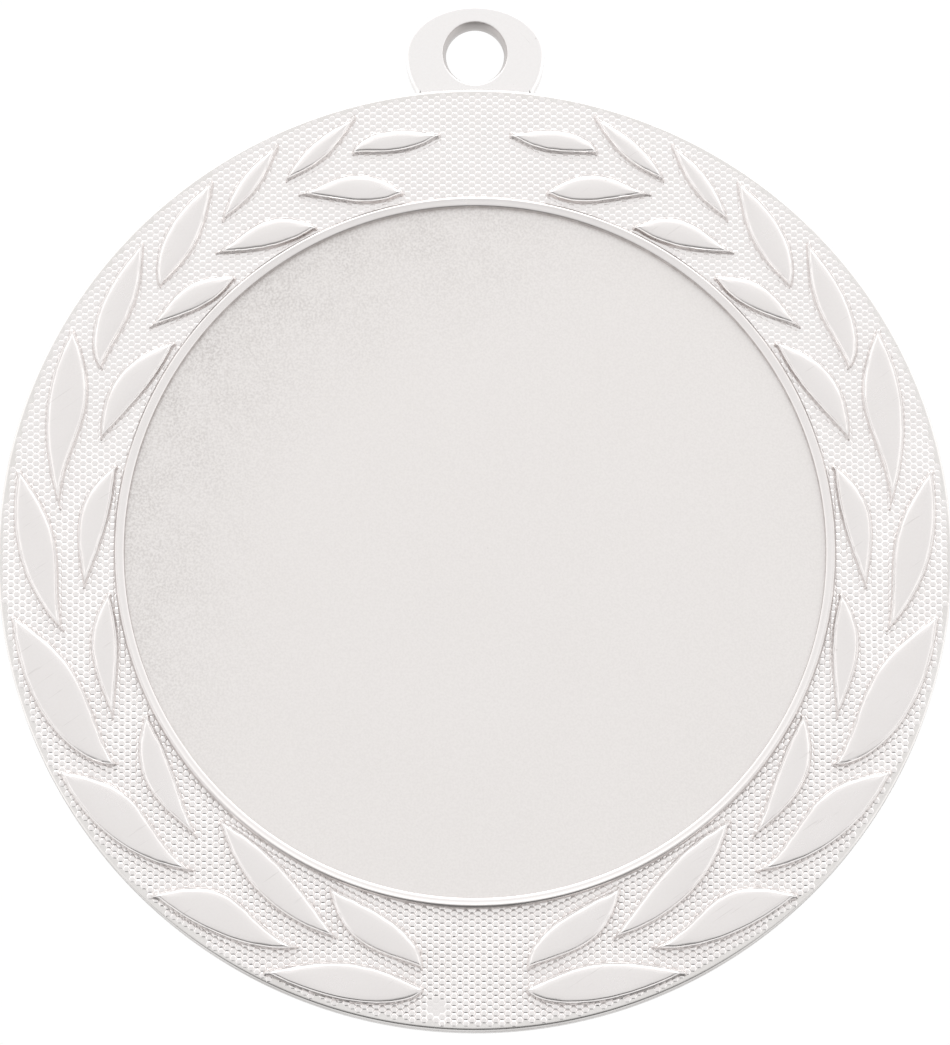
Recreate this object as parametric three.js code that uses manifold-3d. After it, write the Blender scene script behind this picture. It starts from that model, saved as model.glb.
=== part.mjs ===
// An award medal: a round cast disc with a hanging eye, a laurel wreath of raised leaves
// and a round seat in the middle that takes a flat emblem.
//
// The real medal is one zinc casting with silver plating. Its master is built up the way a
// pattern maker builds it, so every raised feature is a solid of its own that stands on the
// disc: the hanging eye, the rim round the seat and forty leaves.
//
// Millimetres. The medal hangs upright: +Z is up, +X is the viewer's right and the front
// faces -Y. The origin is the centre of the eye's hole.

import * as THREE from "three";
import { ParametricGeometry } from "three/addons/geometries/ParametricGeometry.js";
import { mergeVertices } from "three/addons/utils/BufferGeometryUtils.js";
import Module from "manifold-3d";

const wasm = await Module();
wasm.setup();

// The disc
const DISC_DIAMETER = 70;
const DISC_THICKNESS = 3;
const DISC_EDGE_BEVEL = 0.15;
const DISC_SEGMENTS = 160;

// The seat: a shallow round recess for a flat emblem, with a raised rim round it
const EMBLEM_DIAMETER = 50;
const EMBLEM_CLEARANCE = 0.7;
const SEAT_DEPTH = 0.3;
const SEAT_OFFSET_UP = 0.3;
const SEAT_RIM_HEIGHT = 0.5;
const SEAT_RIM_FOOT_WIDTH = 0.8;
const SEAT_RIM_TOP_WIDTH = 0.4;
const SEAT_SEGMENTS = 144;

// The hanging eye, flush with the disc's back and thinner than the disc
const EYE_THICKNESS = 2;
const EYE_HALF_WIDTH = 5.15;
const EYE_CROWN = 3.7;
const EYE_RISE = 3;
const EYE_NECK_HALF_WIDTH = 4.5;
const EYE_EDGE_BEVEL = 0.2;
const EYE_HOLE_FRONT_DIAMETER = 4.8;
const EYE_HOLE_BACK_DIAMETER = 4.4;
const EYE_SEGMENTS = 40;

// The leaves
const LEAF_SHOULDER_HEIGHT = 0.45;
const LEAF_CREST_HEIGHT = 0.65;
const LEAF_WALL_DRAFT = 0.15;
const LEAF_MOST_DRAFT = 0.3;
const LEAF_FULLNESS = 0.8;
const LEAF_STATIONS = 14;

// The right-hand half of the wreath, from the top down. Every place is an angle from 12
// o'clock and a share of the band between the seat's rim (0) and the disc's edge (1). A
// leaf has a tip and a base, and its two sides stand off the line between them by a share of
// the band, fullest at a share of the way from base to tip: first the side towards the
// medal's centre, then the side towards its edge.
const leaf = (tip, base, centreSide, edgeSide) => ({ tip, base, centreSide, edgeSide });
const OUTER_LEAVES = [
  leaf([4.6, 0.58], [16.9, 0.55], [0.1, 0.58], [0.135, 0.35]),
  leaf([15, 0.88], [26.7, 0.54], [0.13, 0.56], [0.08, 0.4]),
  leaf([25.3, 0.88], [37, 0.53], [0.125, 0.56], [0.08, 0.46]),
  leaf([34.8, 0.88], [49.5, 0.47], [0.175, 0.56], [0.15, 0.38]),
  leaf([46.5, 0.86], [63.5, 0.49], [0.16, 0.61], [0.155, 0.33]),
  leaf([60.5, 0.89], [84, 0.48], [0.27, 0.67], [0.1, 0.55]),
  leaf([79.5, 0.89], [101, 0.49], [0.23, 0.63], [0.125, 0.48]),
  leaf([97.8, 0.9], [121, 0.47], [0.26, 0.63], [0.205, 0.36]),
  leaf([118, 0.92], [139, 0.55], [0.265, 0.67], [0.135, 0.47]),
  leaf([137, 0.93], [156.3, 0.62], [0.29, 0.67], [0.085, 0.4]),
  leaf([153.5, 0.93], [173.5, 0.68], [0.22, 0.53], [0.13, 0.3]),
];
const INNER_LEAVES = [
  leaf([11, 0.09], [26, 0.38], [0.13, 0.57], [0.165, 0.61]),
  leaf([25.5, 0.04], [40.5, 0.34], [0.125, 0.5], [0.165, 0.63]),
  leaf([40.5, 0.06], [55, 0.32], [0.13, 0.54], [0.14, 0.6]),
  leaf([54.5, 0.06], [73, 0.26], [0.1, 0.54], [0.19, 0.53]),
  leaf([76, 0.07], [95.3, 0.27], [0.105, 0.51], [0.16, 0.61]),
  leaf([96.3, 0.06], [115, 0.32], [0.12, 0.53], [0.13, 0.62]),
  leaf([116.5, 0.05], [136.3, 0.33], [0.085, 0.56], [0.185, 0.6]),
  leaf([136.8, 0.09], [160.5, 0.44], [0.18, 0.5], [0.13, 0.52]),
  leaf([156.8, 0.07], [173, 0.53], [0.21, 0.28], [0.155, 0.64]),
];

// Silver plating over the cast grain of each area
const silver = (color, roughness) =>
  new THREE.MeshStandardMaterial({ color, roughness, metalness: 1 });
const FIELD_SILVER = () => silver(0xe3dfdb, 0.45);
const RELIEF_SILVER = () => silver(0xeeebe7, 0.28);
const EYE_SILVER = () => silver(0xefedea, 0.35);

const DISC_RADIUS = DISC_DIAMETER / 2;
const SEAT_RADIUS = EMBLEM_DIAMETER / 2 + EMBLEM_CLEARANCE;
const SEAT_RIM_OUTER_RADIUS = SEAT_RADIUS + SEAT_RIM_FOOT_WIDTH;
const BAND_WIDTH = DISC_RADIUS - SEAT_RIM_OUTER_RADIUS;

// A closed three.js geometry as a manifold-3d solid, and back.
function solidOf(geometry) {
  const bare = geometry.clone().deleteAttribute("normal").deleteAttribute("uv");
  const merged = mergeVertices(bare);
  return new wasm.Manifold(
    new wasm.Mesh({
      numProp: 3,
      vertProperties: new Float32Array(merged.attributes.position.array),
      triVerts: new Uint32Array(merged.index.array),
    }),
  );
}

function geometryOf(solid) {
  const { vertProperties, triVerts } = solid.getMesh();
  return new THREE.BufferGeometry()
    .setAttribute("position", new THREE.BufferAttribute(vertProperties, 3))
    .setIndex(new THREE.BufferAttribute(triVerts, 1));
}

function mesh(name, geometry, material) {
  const made = new THREE.Mesh(geometry, material);
  made.name = name;
  return made;
}

// The disc's ground plane is y = 0 here and its back is y = DISC_THICKNESS. The seat is cut
// into the front, a little above the disc's centre.
function discGeometry() {
  const profile = [
    new THREE.Vector2(0, 0),
    new THREE.Vector2(DISC_RADIUS - DISC_EDGE_BEVEL, 0),
    new THREE.Vector2(DISC_RADIUS, DISC_EDGE_BEVEL),
    new THREE.Vector2(DISC_RADIUS, DISC_THICKNESS - DISC_EDGE_BEVEL),
    new THREE.Vector2(DISC_RADIUS - DISC_EDGE_BEVEL, DISC_THICKNESS),
    new THREE.Vector2(0, DISC_THICKNESS),
  ];
  const blank = solidOf(new THREE.LatheGeometry(profile, DISC_SEGMENTS));
  const seatCut = new THREE.CylinderGeometry(
    SEAT_RADIUS,
    SEAT_RADIUS,
    2 * SEAT_DEPTH,
    SEAT_SEGMENTS,
  );
  seatCut.translate(0, 0, SEAT_OFFSET_UP);
  return geometryOf(blank.subtract(solidOf(seatCut)));
}

// A turned bead that stands on the ground plane round the seat.
function seatRimGeometry() {
  const draft = (SEAT_RIM_FOOT_WIDTH - SEAT_RIM_TOP_WIDTH) / 2;
  const profile = [
    new THREE.Vector2(SEAT_RADIUS, 0),
    new THREE.Vector2(SEAT_RADIUS + draft, -SEAT_RIM_HEIGHT),
    new THREE.Vector2(SEAT_RIM_OUTER_RADIUS - draft, -SEAT_RIM_HEIGHT),
    new THREE.Vector2(SEAT_RIM_OUTER_RADIUS, 0),
    new THREE.Vector2(SEAT_RADIUS, 0),
  ];
  return new THREE.LatheGeometry(profile, SEAT_SEGMENTS);
}

// The eye's front view has the hole's centre as its origin. Its flanks run down past the
// disc's edge, and the disc's own outline then cuts the foot that rests on that edge.
function eyeOutline() {
  const footDrop = EYE_RISE + EYE_NECK_HALF_WIDTH;
  const outline = new THREE.Shape();
  outline.moveTo(-EYE_NECK_HALF_WIDTH, -footDrop);
  outline.lineTo(EYE_NECK_HALF_WIDTH, -footDrop);
  outline.lineTo(EYE_NECK_HALF_WIDTH, -EYE_RISE);
  outline.absellipse(0, 0, EYE_HALF_WIDTH, EYE_CROWN, 0, Math.PI, false, 0);
  outline.lineTo(-EYE_NECK_HALF_WIDTH, -EYE_RISE);
  return outline;
}

function eyeGeometry() {
  const plate = new THREE.ExtrudeGeometry(eyeOutline(), {
    depth: EYE_THICKNESS - 2 * EYE_EDGE_BEVEL,
    bevelThickness: EYE_EDGE_BEVEL,
    bevelSize: EYE_EDGE_BEVEL,
    bevelOffset: -EYE_EDGE_BEVEL,
    bevelSegments: 1,
    curveSegments: EYE_SEGMENTS,
  });
  plate.translate(0, 0, EYE_EDGE_BEVEL);
  // The extrusion's own +Z becomes -Y, so it grows from the back towards the front.
  plate.applyMatrix4(
    new THREE.Matrix4().set(1, 0, 0, 0, 0, 0, -1, 0, 0, 1, 0, 0, 0, 0, 0, 1),
  );
  const discCut = new THREE.CylinderGeometry(
    DISC_RADIUS,
    DISC_RADIUS,
    4 * EYE_THICKNESS,
    DISC_SEGMENTS,
  );
  discCut.translate(0, 0, -DISC_RADIUS - EYE_RISE);
  const draft = (EYE_HOLE_FRONT_DIAMETER - EYE_HOLE_BACK_DIAMETER) / 2;
  const holeCut = new THREE.CylinderGeometry(
    EYE_HOLE_BACK_DIAMETER / 2 - draft,
    EYE_HOLE_FRONT_DIAMETER / 2 + draft,
    3 * EYE_THICKNESS,
    EYE_SEGMENTS,
  );
  holeCut.translate(0, -EYE_THICKNESS / 2, 0);
  return geometryOf(solidOf(plate).subtract(solidOf(discCut)).subtract(solidOf(holeCut)));
}

// A place in the wreath's band, as x and z from the disc's centre.
function bandPoint(degrees, share) {
  const angle = THREE.MathUtils.degToRad(degrees);
  const rimRadius = SEAT_RIM_OUTER_RADIUS + SEAT_OFFSET_UP * Math.cos(angle);
  const radius = THREE.MathUtils.lerp(rimRadius, DISC_RADIUS, share);
  return new THREE.Vector2(radius * Math.sin(angle), radius * Math.cos(angle));
}

// How far a leaf's side stands off its midline at a share of the way from base to tip.
function sideWidth(along, [bulge, fullest]) {
  const skew = Math.log(0.5) / Math.log(fullest);
  const arch = Math.max(0, Math.sin(Math.PI * along ** skew));
  return bulge * arch ** LEAF_FULLNESS;
}

// A leaf's own origin is its base, and it rises towards -Y. Its section is a loop of a foot,
// a shoulder, the crest, a shoulder and a foot, and closes to an upright edge at both ends.
function leafGeometry({ tip, base, centreSide, edgeSide }) {
  const origin = bandPoint(...base);
  const length = origin.distanceTo(bandPoint(...tip));
  const draftOfBand = LEAF_WALL_DRAFT / BAND_WIDTH;
  const draftOfLength = LEAF_WALL_DRAFT / length;
  const surface = (lengthwise, around, point) => {
    const along = (1 - Math.cos(Math.PI * lengthwise)) / 2;
    const topAlong = THREE.MathUtils.lerp(draftOfLength, 1 - draftOfLength, along);
    const inward = sideWidth(along, centreSide);
    const outward = sideWidth(along, edgeSide);
    const draft = Math.min(draftOfBand, LEAF_MOST_DRAFT * (inward + outward));
    const crown = LEAF_CREST_HEIGHT - LEAF_SHOULDER_HEIGHT;
    const crest = LEAF_SHOULDER_HEIGHT + crown * Math.sin(Math.PI * along) ** 2;
    const loop = [
      [along, outward, 0],
      [topAlong, outward - draft, LEAF_SHOULDER_HEIGHT],
      [topAlong, (outward - inward) / 2, crest],
      [topAlong, draft - inward, LEAF_SHOULDER_HEIGHT],
      [along, -inward, 0],
    ];
    const [share, offset, height] = loop[Math.round(around * loop.length) % loop.length];
    const degrees = THREE.MathUtils.lerp(base[0], tip[0], share);
    const middle = THREE.MathUtils.lerp(base[1], tip[1], share);
    const place = bandPoint(degrees, middle + offset).sub(origin);
    point.set(place.x, -height, place.y);
  };
  return new ParametricGeometry(surface, LEAF_STATIONS, 5);
}

function leafMesh(name, shape) {
  const made = mesh(name, leafGeometry(shape), RELIEF_SILVER());
  const base = bandPoint(...shape.base);
  made.position.set(base.x, 0, base.y);
  return made;
}

function sprayOfLeaves(side) {
  const spray = new THREE.Group();
  const number = (index) => String(index + 1).padStart(2, "0");
  OUTER_LEAVES.forEach((shape, i) => spray.add(leafMesh(`leaf_${side}_outer_${number(i)}`, shape)));
  INNER_LEAVES.forEach((shape, i) => spray.add(leafMesh(`leaf_${side}_inner_${number(i)}`, shape)));
  return spray;
}

function medal() {
  const back = EYE_THICKNESS / 2;
  const disc = new THREE.Group();
  disc.position.set(0, back - DISC_THICKNESS, -DISC_RADIUS - EYE_RISE);
  disc.add(mesh("medal_disc", discGeometry(), FIELD_SILVER()));

  const rim = mesh("seat_rim", seatRimGeometry(), RELIEF_SILVER());
  rim.position.z = SEAT_OFFSET_UP;
  disc.add(rim);

  disc.add(sprayOfLeaves("right"));
  const leftSpray = sprayOfLeaves("left");
  leftSpray.scale.x = -1;
  disc.add(leftSpray);

  const eye = mesh("hanging_eye", eyeGeometry(), EYE_SILVER());
  eye.position.y = back;

  const whole = new THREE.Group();
  whole.add(disc, eye);
  return whole;
}

export default medal();
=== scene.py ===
# %% [markdown]
# # A cast medal with a laurel wreath
#
# The medal is one zinc casting under silver plating: a round disc, a hanging eye, a
# stippled ground, forty leaves and a seat for a flat emblem inside a raised rim. Here
# each of those features becomes a piece of its own, because that is how a pattern maker
# builds the master. The imported CAD model gives every place and size, so it is loaded
# first, and its box is kept.

# %% Load the imported model
import math

import bmesh
import bpy
import numpy as np
from mathutils import Matrix, Vector, noise


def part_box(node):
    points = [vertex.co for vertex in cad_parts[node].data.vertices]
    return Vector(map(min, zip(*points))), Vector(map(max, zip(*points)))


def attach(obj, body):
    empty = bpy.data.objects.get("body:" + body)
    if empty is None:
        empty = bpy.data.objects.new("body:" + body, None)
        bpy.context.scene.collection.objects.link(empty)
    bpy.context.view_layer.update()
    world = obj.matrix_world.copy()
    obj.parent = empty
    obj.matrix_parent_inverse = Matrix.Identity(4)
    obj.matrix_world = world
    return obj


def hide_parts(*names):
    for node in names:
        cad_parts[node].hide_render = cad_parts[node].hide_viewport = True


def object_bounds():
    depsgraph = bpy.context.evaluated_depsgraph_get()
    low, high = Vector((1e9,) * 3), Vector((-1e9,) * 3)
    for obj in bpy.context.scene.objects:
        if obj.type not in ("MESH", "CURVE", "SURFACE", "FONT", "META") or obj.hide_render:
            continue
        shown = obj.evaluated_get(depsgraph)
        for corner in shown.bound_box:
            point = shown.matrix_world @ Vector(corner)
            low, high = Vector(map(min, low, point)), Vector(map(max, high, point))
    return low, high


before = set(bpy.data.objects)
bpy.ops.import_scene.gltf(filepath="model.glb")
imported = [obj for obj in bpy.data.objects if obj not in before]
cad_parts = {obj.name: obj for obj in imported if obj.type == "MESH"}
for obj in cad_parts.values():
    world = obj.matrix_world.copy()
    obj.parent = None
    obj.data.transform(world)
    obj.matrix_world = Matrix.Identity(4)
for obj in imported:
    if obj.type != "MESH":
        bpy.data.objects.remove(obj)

cad_low, cad_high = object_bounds()
print("CAD box, mm:", [round(1000 * v, 2) for v in (*cad_low, *cad_high)])

# %% [markdown]
# ## Sizes from the frame
#
# Small relief is easiest to think of in millimetres, so the shapes are made in
# millimetres and scaled to metres when a piece is finished. The medal hangs upright with
# its front towards -Y, so a "height" of the relief is a distance along -Y from the ground
# plane.

# %% Measure the CAD nodes
MM_PER_M = 1000.0


def box_mm(node):
    low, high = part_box(node)
    return low * MM_PER_M, high * MM_PER_M


disc_low, disc_high = box_mm("medal_disc")
DISC_RADIUS = (disc_high.x - disc_low.x) / 2
DISC_Z = (disc_low.z + disc_high.z) / 2
GROUND_Y, BACK_Y = disc_low.y, disc_high.y

rim_low, rim_high = box_mm("seat_rim")
RIM_RADIUS = (rim_high.x - rim_low.x) / 2
SEAT_Z = (rim_low.z + rim_high.z) / 2
RIM_TOP_Y = rim_low.y

eye_low, eye_high = box_mm("hanging_eye")
EYE_HALF_WIDTH, EYE_CROWN = eye_high.x, eye_high.z
EYE_SINK = 0.015  # the eye's back lies this far inside the disc's, so its foot stays hidden
EYE_FRONT_Y, EYE_BACK_Y = eye_low.y, eye_high.y - EYE_SINK

BAND_WIDTH = DISC_RADIUS - RIM_RADIUS
print(f"disc radius {DISC_RADIUS:.2f} mm, band for the wreath {BAND_WIDTH:.2f} mm wide")

# %% [markdown]
# ## Helpers that every piece uses
#
# A finished piece has its doubles merged, its faces pointing out and its shading smooth
# except over a real corner. It rides on the one body of the medal and stands for its CAD
# nodes.

# %% Finish a piece
MERGE_MM = 0.004
CORNER_ANGLE = math.radians(50)


def finish_piece(bm, name, nodes, corner_angle=CORNER_ANGLE):
    bmesh.ops.remove_doubles(bm, verts=bm.verts, dist=MERGE_MM)
    bmesh.ops.recalc_face_normals(bm, faces=bm.faces)
    bmesh.ops.scale(bm, vec=Vector((1, 1, 1)) / MM_PER_M, verts=bm.verts)
    for face in bm.faces:
        face.smooth = True
    for edge in bm.edges:
        edge.smooth = edge.is_manifold and edge.calc_face_angle() < corner_angle
    open_edges = sum(1 for edge in bm.edges if not edge.is_manifold)
    mesh = bpy.data.meshes.new(name)
    bm.to_mesh(mesh)
    bm.free()
    piece = bpy.data.objects.new(name, mesh)
    bpy.context.scene.collection.objects.link(piece)
    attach(piece, "root")
    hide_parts(*nodes)
    if open_edges:
        print(f"{name}: {open_edges} open edges")
    return piece


# %% Turn a profile about an axis that runs from front to back
TURN_STEPS = 360
SAME_PLACE = 0.01  # points of a round edge are found within this many mm


def turned(profile, centre_z, closed=False):
    """A bmesh with the (radius, y) profile spun about the line x = 0, z = centre_z."""
    bm = bmesh.new()
    verts = [bm.verts.new((radius, y, centre_z)) for radius, y in profile]
    pairs = list(zip(verts, verts[1:])) + ([(verts[-1], verts[0])] if closed else [])
    edges = [bm.edges.new(pair) for pair in pairs]
    bmesh.ops.spin(
        bm, geom=verts + edges, cent=(0, 0, centre_z), axis=(0, 1, 0),
        angle=math.tau, steps=TURN_STEPS, use_merge=True,
    )
    bmesh.ops.remove_doubles(bm, verts=bm.verts, dist=MERGE_MM)
    return bm


def round_ring(bm, centre_z, radius, y, offset, segments=4):
    """Bevels the circular edge that lies at this radius and y."""
    def on_ring(vert):
        there = math.hypot(vert.co.x, vert.co.z - centre_z)
        return abs(there - radius) < SAME_PLACE and abs(vert.co.y - y) < SAME_PLACE

    ring = [edge for edge in bm.edges if all(on_ring(vert) for vert in edge.verts)]
    bmesh.ops.bevel(
        bm, geom=ring, offset=offset, segments=segments, profile=0.5,
        affect="EDGES", material=-1,
    )


# %% [markdown]
# ## The disc
#
# The real disc is the body of the casting. Its side wall shows the line where the two
# halves of the mould met, and its front edge is a smooth margin that slopes away, because
# the stipple of the pattern stops just short of the edge. A turned profile gives all of
# that at once, and its corners are then rounded as plating and tumbling round them.

# %% Turn the disc
MARGIN_WIDTH = 0.24
MARGIN_CREST_Y = GROUND_Y + 0.04
MARGIN_SHOULDER, SHOULDER_Y = 0.12, GROUND_Y + 0.055  # where the margin starts to fall away
EDGE_CORNER_Y = GROUND_Y + 0.13
UNDER_GROUND_Y = GROUND_Y + 0.6
UNDER_MARGIN = ((0.65, GROUND_Y + 0.09), (0.90, UNDER_GROUND_Y))  # it dips under the bumps
PARTING_Y = (GROUND_Y + BACK_Y) / 2
PARTING_HEIGHT = 0.03
PARTING_FOOT, PARTING_TOP = 0.09, 0.02  # half the width of the parting line's ridge
WALL_RADIUS = DISC_RADIUS - PARTING_HEIGHT
BACK_ROUND, CORNER_ROUND = 0.28, 0.06
SUPPORT = 0.08  # a second ring this far inside a rounded corner keeps the face flat

disc = turned(
    [
        (0, BACK_Y),
        (WALL_RADIUS - BACK_ROUND - SUPPORT, BACK_Y),
        (WALL_RADIUS, BACK_Y),
        (WALL_RADIUS, BACK_Y - BACK_ROUND - SUPPORT),
        (WALL_RADIUS, PARTING_Y + PARTING_FOOT),
        (DISC_RADIUS, PARTING_Y + PARTING_TOP),
        (DISC_RADIUS, PARTING_Y - PARTING_TOP),
        (WALL_RADIUS, PARTING_Y - PARTING_FOOT),
        (WALL_RADIUS, EDGE_CORNER_Y + CORNER_ROUND + SUPPORT),
        (WALL_RADIUS, EDGE_CORNER_Y),
        (WALL_RADIUS - MARGIN_SHOULDER, SHOULDER_Y),
        (DISC_RADIUS - MARGIN_WIDTH, MARGIN_CREST_Y),
        *((DISC_RADIUS - MARGIN_WIDTH - inwards, y) for inwards, y in UNDER_MARGIN),
        (0, UNDER_GROUND_Y),
    ],
    DISC_Z,
)
round_ring(disc, DISC_Z, WALL_RADIUS, BACK_Y, BACK_ROUND)
round_ring(disc, DISC_Z, WALL_RADIUS, EDGE_CORNER_Y, CORNER_ROUND, segments=3)
disc_body = finish_piece(disc, "disc_body", ["medal_disc"])
print("disc faces:", len(disc_body.data.polygons))

# %% [markdown]
# ## The stippled ground
#
# Behind the wreath the ground is a honeycomb of small flat-topped bumps, half a
# millimetre apart, that makes the smooth leaves stand out. An array of ready bumps would
# also do, but its seams would need joining. So one hexagon is drawn, copied by doubling
# until it covers half of the medal, and cut down to the band. Each cell is then inset
# twice and lifted, which leaves a groove all round it.

# %% One hexagon becomes a sheet of cells
CELL_PITCH = 0.5
CELL_COLUMN = CELL_PITCH * math.cos(math.pi / 6)
GROOVE_Y = GROUND_Y + 0.075
SHEET_DEPTH = 0.3


def repeat_cells(bm, count, step):
    """Copies what is in the bmesh until there are count of it, each a step further on."""
    unit = len(bm.faces)
    made = 1
    while made < count:
        more = min(made, count - made)
        bm.faces.ensure_lookup_table()
        faces = bm.faces[: more * unit]
        rest = list({part for face in faces for part in (*face.verts, *face.edges)})
        copy = bmesh.ops.duplicate(bm, geom=faces + rest)["geom"]
        fresh = [part for part in copy if isinstance(part, bmesh.types.BMVert)]
        bmesh.ops.translate(bm, vec=Vector(step) * made, verts=fresh)
        made += more


def cell_sheet(side):
    """Hexagons over one half of the medal; side is 1 for the right and -1 for the left."""
    bm = bmesh.new()
    stand_up = Matrix.Rotation(math.pi / 2, 4, "X") @ Matrix.Rotation(math.pi / 6, 4, "Z")
    bmesh.ops.create_circle(
        bm, cap_ends=True, segments=6, radius=CELL_PITCH / math.sqrt(3), matrix=stand_up
    )
    first_row = 0.0 if side > 0 else CELL_PITCH / 2
    start = (side * CELL_COLUMN / 2, GROOVE_Y, DISC_Z - DISC_RADIUS + first_row)
    bmesh.ops.translate(bm, vec=start, verts=bm.verts)
    repeat_cells(bm, 2, (side * CELL_COLUMN, 0, side * CELL_PITCH / 2))
    rows = math.ceil(2 * DISC_RADIUS / CELL_PITCH)
    column_pairs = math.ceil(DISC_RADIUS / CELL_COLUMN / 2)
    repeat_cells(bm, rows, (0, 0, CELL_PITCH))
    repeat_cells(bm, column_pairs, (2 * side * CELL_COLUMN, 0, 0))
    return bm


# %% How high each bump stands
FADE_WIDTH = 0.35
FADE_WANDER, FADE_WAVES_PER_MM = 0.3, 0.35  # where the bumps stop isn't quite a circle
TOP_WEAR = 0.48  # the bumps are this much lower at the top of the medal
BARE_SPOT = Vector((-2.8, 0, DISC_Z - 33.4))  # a spot that the mould left nearly smooth
BARE_SPOT_FROM, BARE_SPOT_TO = 0.4, 1.2  # distances from its middle over which it ends
BARE_SPOT_SHARE = 0.3


def smoothstep(low, high, value):
    share = min(1.0, max(0.0, (value - low) / (high - low)))
    return share * share * (3 - 2 * share)


def bump_share(place):
    """1 where a bump has its full height, 0 in the margin, little in the bare spot."""
    radius = math.hypot(place.x, place.z - DISC_Z)
    start = DISC_RADIUS - MARGIN_WIDTH
    start += FADE_WANDER * noise.noise(place * FADE_WAVES_PER_MM)
    margin = 1 - smoothstep(start, start + FADE_WIDTH, radius)
    away = math.hypot(place.x - BARE_SPOT.x, place.z - BARE_SPOT.z)
    spot = smoothstep(BARE_SPOT_FROM, BARE_SPOT_TO, away)
    spot = BARE_SPOT_SHARE + (1 - BARE_SPOT_SHARE) * spot
    wear = smoothstep(DISC_Z - DISC_RADIUS, DISC_Z + 0.5 * DISC_RADIUS, place.z)
    return margin * spot * (1 - TOP_WEAR * wear)


# %% Cut the sheet to the band and raise the bumps
BUMP_STEPS = ((0.070, 0.82), (0.030, 1.0))  # inset in mm, share of the bump's full height
EDGE_GAP = 0.36  # cells stop this far inside the disc's edge
UNDER_RIM = 0.35  # and run this far under the seat's rim
CELL_MERGE = 0.05
CELL_UNEVENNESS, CELL_WAVES_PER_MM = 0.008, 1.7
CORNER_UNEVENNESS, CORNER_WAVES_PER_MM = 0.003, 3.1
GROUND_CORNER_ANGLE = math.radians(24)


def off_the_band(cell):
    middle = cell.calc_center_median()
    past_edge = math.hypot(middle.x, middle.z - DISC_Z) > DISC_RADIUS - EDGE_GAP
    return past_edge or math.hypot(middle.x, middle.z - SEAT_Z) < RIM_RADIUS - UNDER_RIM


def unevenness(place, waves_per_mm):
    return abs(noise.noise(place * waves_per_mm))


def ground_half(name, side):
    bm = cell_sheet(side)
    outside = [cell for cell in bm.faces if off_the_band(cell)]
    bmesh.ops.delete(bm, geom=outside, context="FACES")
    bmesh.ops.remove_doubles(bm, verts=bm.verts, dist=CELL_MERGE)
    cells = bm.faces[:]
    sheet = bmesh.ops.extrude_face_region(bm, geom=cells, use_keep_orig=True)["geom"]
    lifted = [part for part in sheet if isinstance(part, bmesh.types.BMFace)]
    buried = list({vert for cell in cells for vert in cell.verts})
    bmesh.ops.translate(bm, vec=(0, SHEET_DEPTH, 0), verts=buried)
    for inset, share in BUMP_STEPS:
        bmesh.ops.inset_individual(
            bm, faces=lifted, thickness=inset, use_even_offset=True
        )
        for cell in lifted:
            middle = cell.calc_center_median()
            full = (GROOVE_Y - GROUND_Y) * bump_share(middle)
            full -= CELL_UNEVENNESS * unevenness(middle, CELL_WAVES_PER_MM)
            full = max(0.0, full)
            for vert in cell.verts:
                place = Vector((vert.co.x, 0, vert.co.z))
                lower = unevenness(place, CORNER_WAVES_PER_MM)
                lower *= min(full, CORNER_UNEVENNESS)
                vert.co.y = GROOVE_Y - share * (full - lower)
    print(name, "cells:", len(lifted))
    return finish_piece(bm, name, ["medal_disc"], GROUND_CORNER_ANGLE)


ground_right = ground_half("ground_right", 1)
ground_left = ground_half("ground_left", -1)
print("ground triangles:", [sum(len(p.vertices) - 2 for p in g.data.polygons)
                            for g in (ground_right, ground_left)])

# %% [markdown]
# ## The seat and its rim
#
# The seat is a shallow flat recess. A printed disc is glued in there, so it has only a
# fine blasted grain to hold the glue. The rim round it is a bead with a fine ledge half
# way up its inner slope, two soft edges and a sloping shoulder outside. A curve with a
# bevel could make the bead, but a turned section gives each of those edges its own place.
# Both are turned about the seat's own axis, which is a little above the disc's.

# %% Turn the seat's floor and rim
SEAT_FLOOR_Y = GROUND_Y + 0.3
SEAT_RADIUS = RIM_RADIUS - 0.8
FLOOR_RADIUS = SEAT_RADIUS + 0.3  # the floor runs on a little way under the rim

floor = turned(
    [(0, SEAT_FLOOR_Y), (FLOOR_RADIUS, SEAT_FLOOR_Y),
     (FLOOR_RADIUS, UNDER_GROUND_Y), (0, UNDER_GROUND_Y)],
    SEAT_Z,
)
seat_floor = finish_piece(floor, "seat_floor", ["medal_disc"])

RIM_FOOT_Y = SEAT_FLOOR_Y + 0.2
RIM_INSIDE = ((SEAT_RADIUS - 0.02, RIM_FOOT_Y), (SEAT_RADIUS, SEAT_FLOOR_Y - 0.02))
INNER_CORNER = (SEAT_RADIUS + 0.03, RIM_TOP_Y + 0.19)
RIM_LEDGE = (
    (SEAT_RADIUS + 0.25, RIM_TOP_Y + 0.115), (SEAT_RADIUS + 0.31, RIM_TOP_Y + 0.118),
)
OUTER_CORNER = (RIM_RADIUS - 0.25, RIM_TOP_Y)
RIM_SHOULDER = (RIM_RADIUS - 0.06, RIM_TOP_Y + 0.14)
RIM_OUTSIDE = ((RIM_RADIUS, GROUND_Y), (RIM_RADIUS, RIM_FOOT_Y))
RIM_CORNER_ROUND = 0.06
rim = turned(
    [*RIM_INSIDE, INNER_CORNER, *RIM_LEDGE, OUTER_CORNER, RIM_SHOULDER, *RIM_OUTSIDE],
    SEAT_Z, closed=True,
)
for radius, y in (INNER_CORNER, OUTER_CORNER):
    round_ring(rim, SEAT_Z, radius, y, RIM_CORNER_ROUND, segments=3)
rim_bead = finish_piece(rim, "rim_bead", ["seat_rim"])
print("rim, mm:", [round(v * MM_PER_M, 2) for v in rim_bead.dimensions])

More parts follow.
